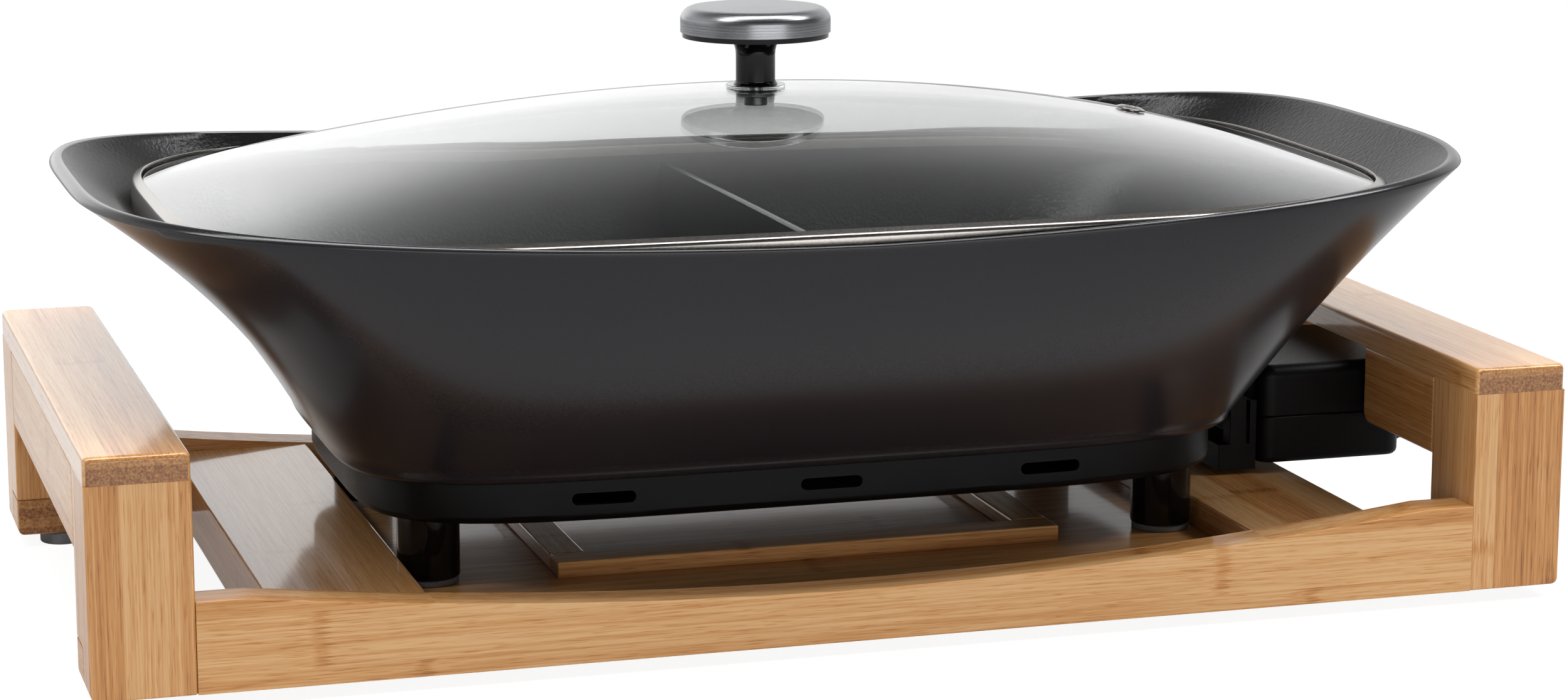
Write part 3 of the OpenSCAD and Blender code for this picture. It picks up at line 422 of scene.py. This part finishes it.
def make_pan():
    """Flared pan with a rounded rim that sweeps up to the ends."""
    outside = [foot_loop(PAN_Z, FOOT_OUT, t, 0) for t in range(0, 90, 15)]
    outside += [outer_loop(k / STEPS) for k in range(STEPS + 1)]
    rim = [edge_loop(inset, drop) for inset, drop in ((0.07, 0.72), (0.28, 0.42), (0.55, 0.18), (0.8, 0))]
    inside = [inner_loop(k / STEPS, 0.5 * k / STEPS) for k in range(STEPS, -1, -1)]
    inside += [foot_loop(FLOOR_Z, FOOT_IN, t, WALL) for t in range(80, -1, -10)]
    a, b = len(outside) - 1, len(outside) + len(rim)
    pan = loft("coated_pan", outside + rim + inside, False, [PAN_OUTSIDE, PAN_RIM, PAN_INSIDE],
        lambda k: 0 if k < a else 1 if k < b else 2)
    smooth(pan.data, 60)
    stand_for(pan, "pan", "pan_floor")


LID_Z, BAND_H, BAND_T, GLASS_T, DOME_H = 146.5, 9.6, 0.8, 4.0, 35.4
SEAT_L = pan_point(0, LID_Z, WALL)[0]
SEAT_W = pan_point(math.pi / 2, LID_Z, WALL)[1]
LID_L, LID_W = SEAT_L - 0.5, SEAT_W - 6
GLASS_IN, HOLE_R = 1.1, 3.4  # Glass inside the band's outline, and the hole for the knob's screw
GLASS_Z = LID_Z + BAND_H - BAND_T - 0.3


def lid_point(angle, inset):
    """Place on the lid's outline, moved inwards by an inset."""
    x, y, z = pan_point(angle, LID_Z, WALL)
    return x * (LID_L - inset) / SEAT_L, y * (LID_W - inset) / SEAT_W


def lid_loop(inset, z):
    """Level loop round the lid."""
    return [(*lid_point(a, inset), z) for a in TURN]


def dome_loop(r, drop):
    """Loop on the glass at a share r of the way out from the middle."""
    loop = []
    for a in TURN:
        u, v = squared(a, 2)
        x, y = lid_point(a, GLASS_IN)
        z = GLASS_Z + DOME_H * (1 - r**2.05) - drop
        x, y = mix((LID_L - GLASS_IN) * u, x, r * r), mix((LID_W - GLASS_IN) * v, y, r * r)
        loop.append((r * x, r * y, z))
    return loop


def make_lid():
    """Domed glass in a rolled steel band."""
    shares = [1 - k / 40 for k in range(39)] + [0.035]
    hole = [[(HOLE_R * squared(a, 2)[0], HOLE_R * squared(a, 2)[1], GLASS_Z + DOME_H - d) for a in TURN]
        for d in (0.2, GLASS_T + 0.2)]
    glass = loft("domed_glass", [dome_loop(r, 0) for r in shares] + hole
        + [dome_loop(r, GLASS_T) for r in reversed(shares)], True, [GLASS], lambda k: 0)
    smooth(glass.data, 40)
    stand_for(glass, "lid_glass")
    top, seat = LID_Z + BAND_H, GLASS_Z - GLASS_T - 0.3
    profile = [(0, LID_Z + 0.3), (0, top - 1.6), (0.15, top - 0.8), (0.6, top - 0.2), (1.3, top + 0.2),
        (3.6, top + 1.3), (3.95, top + 1.22), (3.95, top + 1.4 - BAND_T), (BAND_T, top - BAND_T),
        (BAND_T, seat), (4.6, seat), (4.6, seat - BAND_T), (BAND_T, seat - BAND_T), (BAND_T, LID_Z),
        (0.3, LID_Z)]
    band = loft("rolled_band", [lid_loop(i, z) for i, z in profile], True, [BAND_STEEL], lambda k: 0)
    smooth(band.data, 35)
    stand_for(band, "lid_band")


HOUSING_END, DIAL_Z = 0.26202, 0.0543  # End face of the controller and the dial's height, in metres


def make_dial_scale():
    """Printed ticks round the dial on the end of the housing. Its sizes are metres."""
    tree = bpy.data.node_groups.new("dial_ticks", "GeometryNodeTree")
    face = tree.interface
    for name, kind, value in (("Ticks", "NodeSocketInt", 13), ("Radius", "NodeSocketFloat", 0.0192),
            ("Length", "NodeSocketFloat", 0.0018), ("Width", "NodeSocketFloat", 0.0006)):
        face.new_socket(name, in_out="INPUT", socket_type=kind).default_value = value
    face.new_socket("Geometry", in_out="OUTPUT", socket_type="NodeSocketGeometry")
    sizes = add(tree, "NodeGroupInput").outputs
    arc = add(tree, "GeometryNodeCurveArc", {
        "Resolution": sizes["Ticks"], "Radius": sizes["Radius"], "Start Angle": math.radians(-45),
        "Sweep Angle": math.radians(270)})
    spots = add(tree, "GeometryNodeCurveToPoints", {"Curve": arc.outputs[0]}, mode="EVALUATED")
    size = add(tree, "ShaderNodeCombineXYZ", {0: sizes["Width"], 1: sizes["Length"], 2: 0.00025})
    tick = add(tree, "GeometryNodeMeshCube", {"Size": size.outputs[0]})
    put = add(tree, "GeometryNodeInstanceOnPoints", {
        "Points": spots.outputs["Points"], "Instance": tick.outputs["Mesh"],
        "Rotation": spots.outputs["Rotation"]})
    real = add(tree, "GeometryNodeRealizeInstances", {0: put})
    inked = add(tree, "GeometryNodeSetMaterial", {"Geometry": real.outputs[0], "Material": TICK_WHITE})
    add(tree, "NodeGroupOutput", {0: inked.outputs[0]})
    piece = new_piece("dial_ticks", bpy.data.meshes.new("dial_ticks"))
    piece.modifiers.new("ticks", "NODES").node_group = tree
    flat = bpy.data.meshes.new_from_object(piece.evaluated_get(bpy.context.evaluated_depsgraph_get()))
    piece.modifiers.clear()
    # The arc is drawn flat, then stood up on the end face of the housing
    for vertex in flat.vertices:
        x, y, z = vertex.co
        vertex.co = Vector((HOUSING_END + z, x, DIAL_Z + y))
    flat.update()
    piece.data = flat
    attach(piece, "controller")


make_pan()
make_lid()
make_dial_scale()
for name in ("post_front_left", "post_rear_left", "post_front_right", "post_rear_right"):
    dress(name, BAMBOO_UPRIGHT, ROUND_MM, weigh=weigh_outside)
for name in ("handle_cap_left", "handle_cap_right"):
    dress(name, BAMBOO_HANDLE, 0, 40)
for name in ("apron_left", "apron_front_right", "apron_rear_right"):
    dress(name, BAMBOO_APRON, 1.0)
for name in ("front_rail", "rear_rail"):
    dress(name, BAMBOO_RAIL, 1.4, 30)
for name in ("ring_strip_front", "ring_strip_rear"):
    dress(name, BAMBOO_BOARD, 0.8)
for name in ("ring_strip_left", "ring_strip_right", "plank_left", "plank_right"):
    dress(name, BAMBOO_PLANK, 1.0)
dress("base_board", BAMBOO_BOARD, 0.6)
dress("foot_blocks", BAMBOO_BLOCK, ROUND_MM, weigh=weigh_outside)
dress("stand_feet", GREY_RUBBER, 0.8)
dress("leg_pads", GREY_RUBBER, 0.6)
dress("pan_legs", GLOSS_BLACK, 0.8)
dress("divider", PAN_RIM, 0.9)
dress("base_skirt", MATTE_BLACK, 0.0, 40)
dress("bottom_cover", MATTE_BLACK, 0.3)
dress("controller_upper", MATTE_BLACK, 0.0, 32)
dress("controller_lower", MATTE_BLACK, 0.0, 32)
dress("plug_nose", MATTE_BLACK, 0.6)
dress("cord_gland", MATTE_BLACK, 0.3)
dress("dial", GLOSS_BLACK, 0.4)
dress("knob_body", GLOSS_BLACK, 0.0, 40)
dress("knob_cap", KNOB_STEEL, 0.0, 40)
dress("knob_seal", SEAL, 0.2)
dress("knob_washer", FIXING_STEEL, 0.2)
dress("knob_screw", FIXING_STEEL, 0.3)
dress("vent_grommet", BAND_STEEL, 0.2)
dress("lamp_lens", RED_LENS, 0.6)
dress("inlet_pins", BRASS, 0.6)
dress("probe", FIXING_STEEL, 0.8)

# Inner pieces keep their solids and take a finish
INNER = {
    "stand_foot_screws": FIXING_STEEL, "cap_dowels": BAMBOO_UPRIGHT, "rail_dowels": BAMBOO_RAIL,
    "heating_element": FIXING_STEEL, "reflector_plate": ALUMINIUM, "pan_studs": ALUMINIUM,
    "terminal_block": CERAMIC, "probe_sleeve": FIXING_STEEL, "thermal_fuse": CERAMIC,
    "leg_screws": FIXING_STEEL, "contact_sleeves": BRASS, "thermostat_block": BROWN_PHENOLIC,
    "neon_lamp": RED_LENS, "controller_screws": FIXING_STEEL, "dial_shaft": FIXING_STEEL}
for name, material in INNER.items():
    nodes[name].data.materials.clear()
    nodes[name].data.materials.append(material)


# Studio
def make_studio():
    """White floor that keeps a soft shadow, a white backdrop behind, a dark room in front and soft lamps.
    Each lamp has a place and a size in metres and a power in watts."""
    floor_mesh = bpy.data.meshes.new("floor")
    floor_mesh.from_pydata([(-9, -9, 0), (9, -9, 0), (9, 9, 0), (-9, 9, 0)], [], [(0, 1, 2, 3)])
    floor = new_piece("floor", floor_mesh)
    # Straight on the paper is white with a faint shadow, and in a mirror it is partly in its own shade
    paper, tree, out = new_material("white_paper")
    path = add(tree, "ShaderNodeLightPath").outputs
    seen = add(tree, MATH, {0: path["Is Camera Ray"], 1: path["Is Transmission Ray"]}, operation="MAXIMUM")
    lit = add(tree, "ShaderNodeMix", {0: path["Is Glossy Ray"], 6: colour("#d8d8d8"), 7: colour("#d0d0d0")},
        data_type="RGBA")
    tint = add(tree, "ShaderNodeMix", {0: seen, 6: lit.outputs[2], 7: colour("#6e6e6e")}, data_type="RGBA")
    glow = add(tree, MATH, {0: seen, 1: 0.92}, operation="MULTIPLY")
    glow = add(tree, MATH, {0: path["Is Glossy Ray"], 1: 0.25, 2: glow}, operation="MULTIPLY_ADD")
    shade = add(tree, "ShaderNodeBsdfDiffuse", {"Color": tint.outputs[2]})
    light = add(tree, "ShaderNodeEmission", {"Color": colour("#ffffff"), "Strength": glow})
    both = add(tree, "ShaderNodeAddShader", {0: shade, 1: light})
    tree.links.new(both.outputs[0], out.inputs["Surface"])
    floor_mesh.materials.append(paper)
    world = bpy.data.worlds.new("studio")
    bpy.context.scene.world = world
    world.use_nodes = True
    tree = world.node_tree
    tree.nodes.clear()
    # The backdrop is white behind and slightly to the left up to about 20 degrees, and it darkens above that
    # and in front
    ray = add(tree, "ShaderNodeTexCoord").outputs["Generated"]
    back = add(tree, VECTOR, {0: ray, 1: (-0.2, 0.98, 0)}, operation="DOT_PRODUCT").outputs["Value"]
    behind = add(tree, RANGE, {"Value": back, 1: -0.25, 2: 0.35, 3: 0.1, 4: 1}, interpolation_type=SOFT)
    height = add(tree, "ShaderNodeSeparateXYZ", {0: ray}).outputs[2]
    low = add(tree, RANGE, {"Value": height, 1: 0.35, 2: 0.9, 3: 1, 4: 0.08}, interpolation_type=SOFT)
    sky = add(tree, "ShaderNodeBackground", {"Color": colour("#ffffff"), "Strength": 0.14})
    level = add(tree, MATH, {0: behind, 1: low}, operation="MULTIPLY")
    white = add(tree, "ShaderNodeBackground", {"Color": colour("#ffffff"), "Strength": level})
    path = add(tree, "ShaderNodeLightPath").outputs
    seen = add(tree, MATH, {0: path["Is Camera Ray"], 1: path["Is Transmission Ray"]}, operation="MAXIMUM")
    seen = add(tree, MATH, {0: seen, 1: path["Is Glossy Ray"]}, operation="MAXIMUM")
    mixed = add(tree, "ShaderNodeMixShader", {0: seen, 1: sky, 2: white})
    add(tree, "ShaderNodeOutputWorld", {"Surface": mixed})
    for name, spot, size, power in (
            ("lamp_top", (0.0, -0.2, 2.2), (2.2, 0.6), 40.0),
            ("lamp_front", (0.2, -3.0, 0.32), (3.0, 0.5), 19.0),
            ("lamp_left", (-1.7, -0.5, 2.1), (0.8, 1.0), 20.0),
            ("lamp_right", (1.7, -0.5, 2.1), (0.8, 1.0), 28.0),
            ("lamp_back", (0.5, 2.9, 1.15), (4.4, 2.3), 22.0)):
        lamp = bpy.data.lights.new(name, "AREA")
        lamp.shape = "RECTANGLE"
        lamp.use_nodes = True
        lamp.size, lamp.size_y = size
        lamp.energy = power
        stand = bpy.data.objects.new(name, lamp)
        stand.location = spot
        stand.rotation_euler = (Vector((0, 0, 0.1)) - Vector(spot)).to_track_quat("-Z", "Y").to_euler()
        bpy.context.scene.collection.objects.link(stand)
    # The panel behind is brighter at its left and fades out towards the right and the top
    tree = lamp.node_tree
    tree.nodes.clear()
    place = add(tree, "ShaderNodeNewGeometry").outputs["Parametric"]
    sheet = add(tree, "ShaderNodeSeparateXYZ", {0: place}).outputs
    left = add(tree, RANGE, {"Value": sheet[0], 1: 0.3, 2: 0.85, 3: 0.05, 4: 1}, interpolation_type=SOFT)
    down = add(tree, RANGE, {"Value": sheet[1], 1: 0.45, 2: 1, 3: 1, 4: 0}, interpolation_type=SOFT)
    level = add(tree, MATH, {0: left, 1: down}, operation="MULTIPLY")
    glow = add(tree, "ShaderNodeEmission", {"Color": colour("#ffffff"), "Strength": level})
    add(tree, "ShaderNodeOutputLight", {"Surface": glow})


def make_camera():
    """Camera where the photograph was taken from, turned to the right and tilted down by these degrees."""
    right, down = 16.75, 11.36
    lens = bpy.data.cameras.new("camera")
    lens.sensor_fit = "HORIZONTAL"
    lens.sensor_width = 36
    lens.lens = 87.84
    camera = bpy.data.objects.new("camera", lens)
    camera.location = (-0.4165, -1.4224, 0.3835)
    camera.rotation_euler = (math.radians(90 - down), 0, math.radians(-right))
    bpy.context.scene.collection.objects.link(camera)
    bpy.context.scene.camera = camera


make_studio()
make_camera()
bpy.context.scene.view_settings.view_transform = "Standard"
